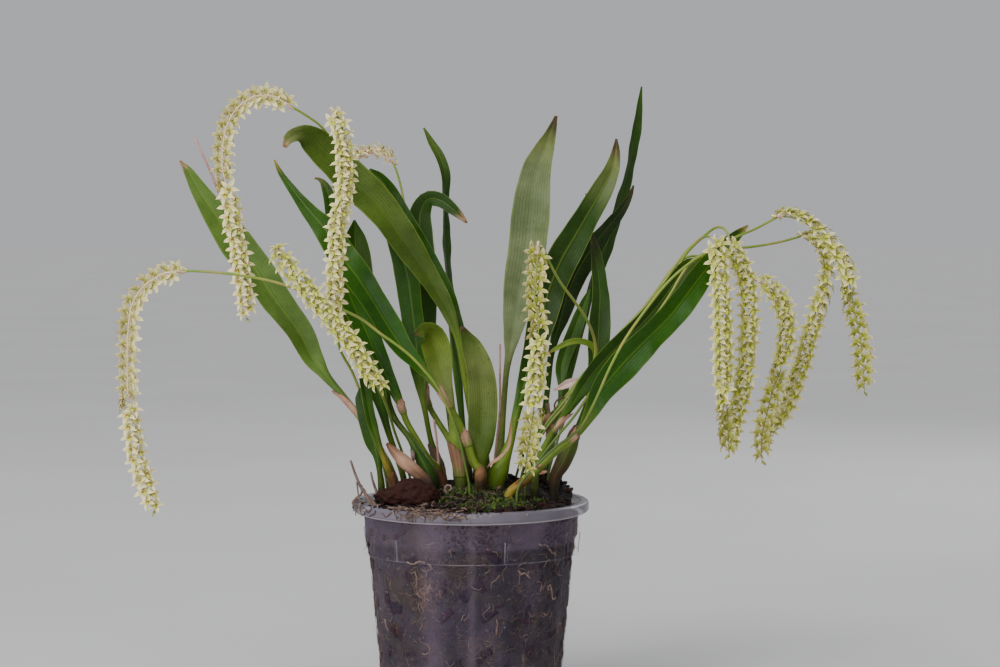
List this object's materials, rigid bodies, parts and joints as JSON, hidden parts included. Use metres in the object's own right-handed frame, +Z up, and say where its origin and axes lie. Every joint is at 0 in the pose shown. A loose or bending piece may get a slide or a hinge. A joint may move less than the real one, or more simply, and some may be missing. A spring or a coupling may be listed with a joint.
{
  "type": "potted dendrochilum orchid",
  "caption": "Potted necklace orchid: narrow leafy pseudobulbs in bark mix in a clear tapered pot, with arching stalks and hanging chains of small cream flowers.",
  "frame": {"origin": "centre of the pot's underside, on the surface that the pot stands on", "axes": "+Z up along the pot's axis, +X to the right across the widest spread of the flower chains, -Y towards the front"},
  "size_m": [0.4126, 0.1509, 0.3519],
  "materials": {
    "clear_plastic": "thin clear plastic, faintly violet, frosted and wet inside",
    "bark_mix": "damp bark crumbs, roots and moss",
    "bark": "rough dark red-brown bark",
    "leaf": "satin leaf with fine parallel veins",
    "dry_sheath": "dry papery sheath, pink-tan, finely ribbed",
    "flower_stalk": "smooth yellow-green stem",
    "flower": "translucent cream tepals with a yellow-green middle"
  },
  "bodies": {
    "root": {"pot": "clear_plastic", "potting_mix": "bark_mix", "bark_chunk": "bark", "dry_sheath": "dry_sheath", "leafy_shoot_01": "leaf", "leafy_shoot_02": "leaf", "leafy_shoot_03": "leaf", "leafy_shoot_04": "leaf", "leafy_shoot_05": "leaf", "leafy_shoot_06": "leaf", "leafy_shoot_07": "leaf", "leafy_shoot_08": "leaf", "leafy_shoot_09": "leaf", "leafy_shoot_10": "leaf", "leafy_shoot_11": "leaf", "leafy_shoot_12": "leaf", "leafy_shoot_13": "leaf", "leafy_shoot_14": "leaf", "leafy_shoot_15": "leaf", "leafy_shoot_16": "leaf", "leafy_shoot_17": "leaf", "leafy_shoot_18": "leaf", "leafy_shoot_19": "leaf", "leafy_shoot_20": "leaf", "leafy_shoot_21": "leaf", "leafy_shoot_22": "leaf", "leafy_shoot_23": "leaf", "leafy_shoot_24": "leaf", "old_stalk_1": "dry_sheath", "old_stalk_2": "dry_sheath", "old_stalk_3": "dry_sheath", "flower_stalk_01": "flower_stalk", "flower_stalk_02": "flower_stalk", "flower_stalk_03": "flower_stalk", "flower_stalk_04": "flower_stalk", "flower_stalk_05": "flower_stalk", "flower_stalk_06": "flower_stalk", "flower_stalk_07": "flower_stalk", "flower_stalk_08": "flower_stalk", "flower_stalk_09": "flower_stalk", "flower_stalk_10": "flower_stalk", "flower_stalk_11": "flower_stalk", "flower_chain_01": "flower", "flower_chain_02": "flower", "flower_chain_03": "flower", "flower_chain_04": "flower", "flower_chain_05": "flower", "flower_chain_06": "flower", "flower_chain_07": "flower", "flower_chain_08": "flower", "flower_chain_09": "flower", "flower_chain_10": "flower", "flower_chain_11": "flower"}
  },
  "joints": []
}
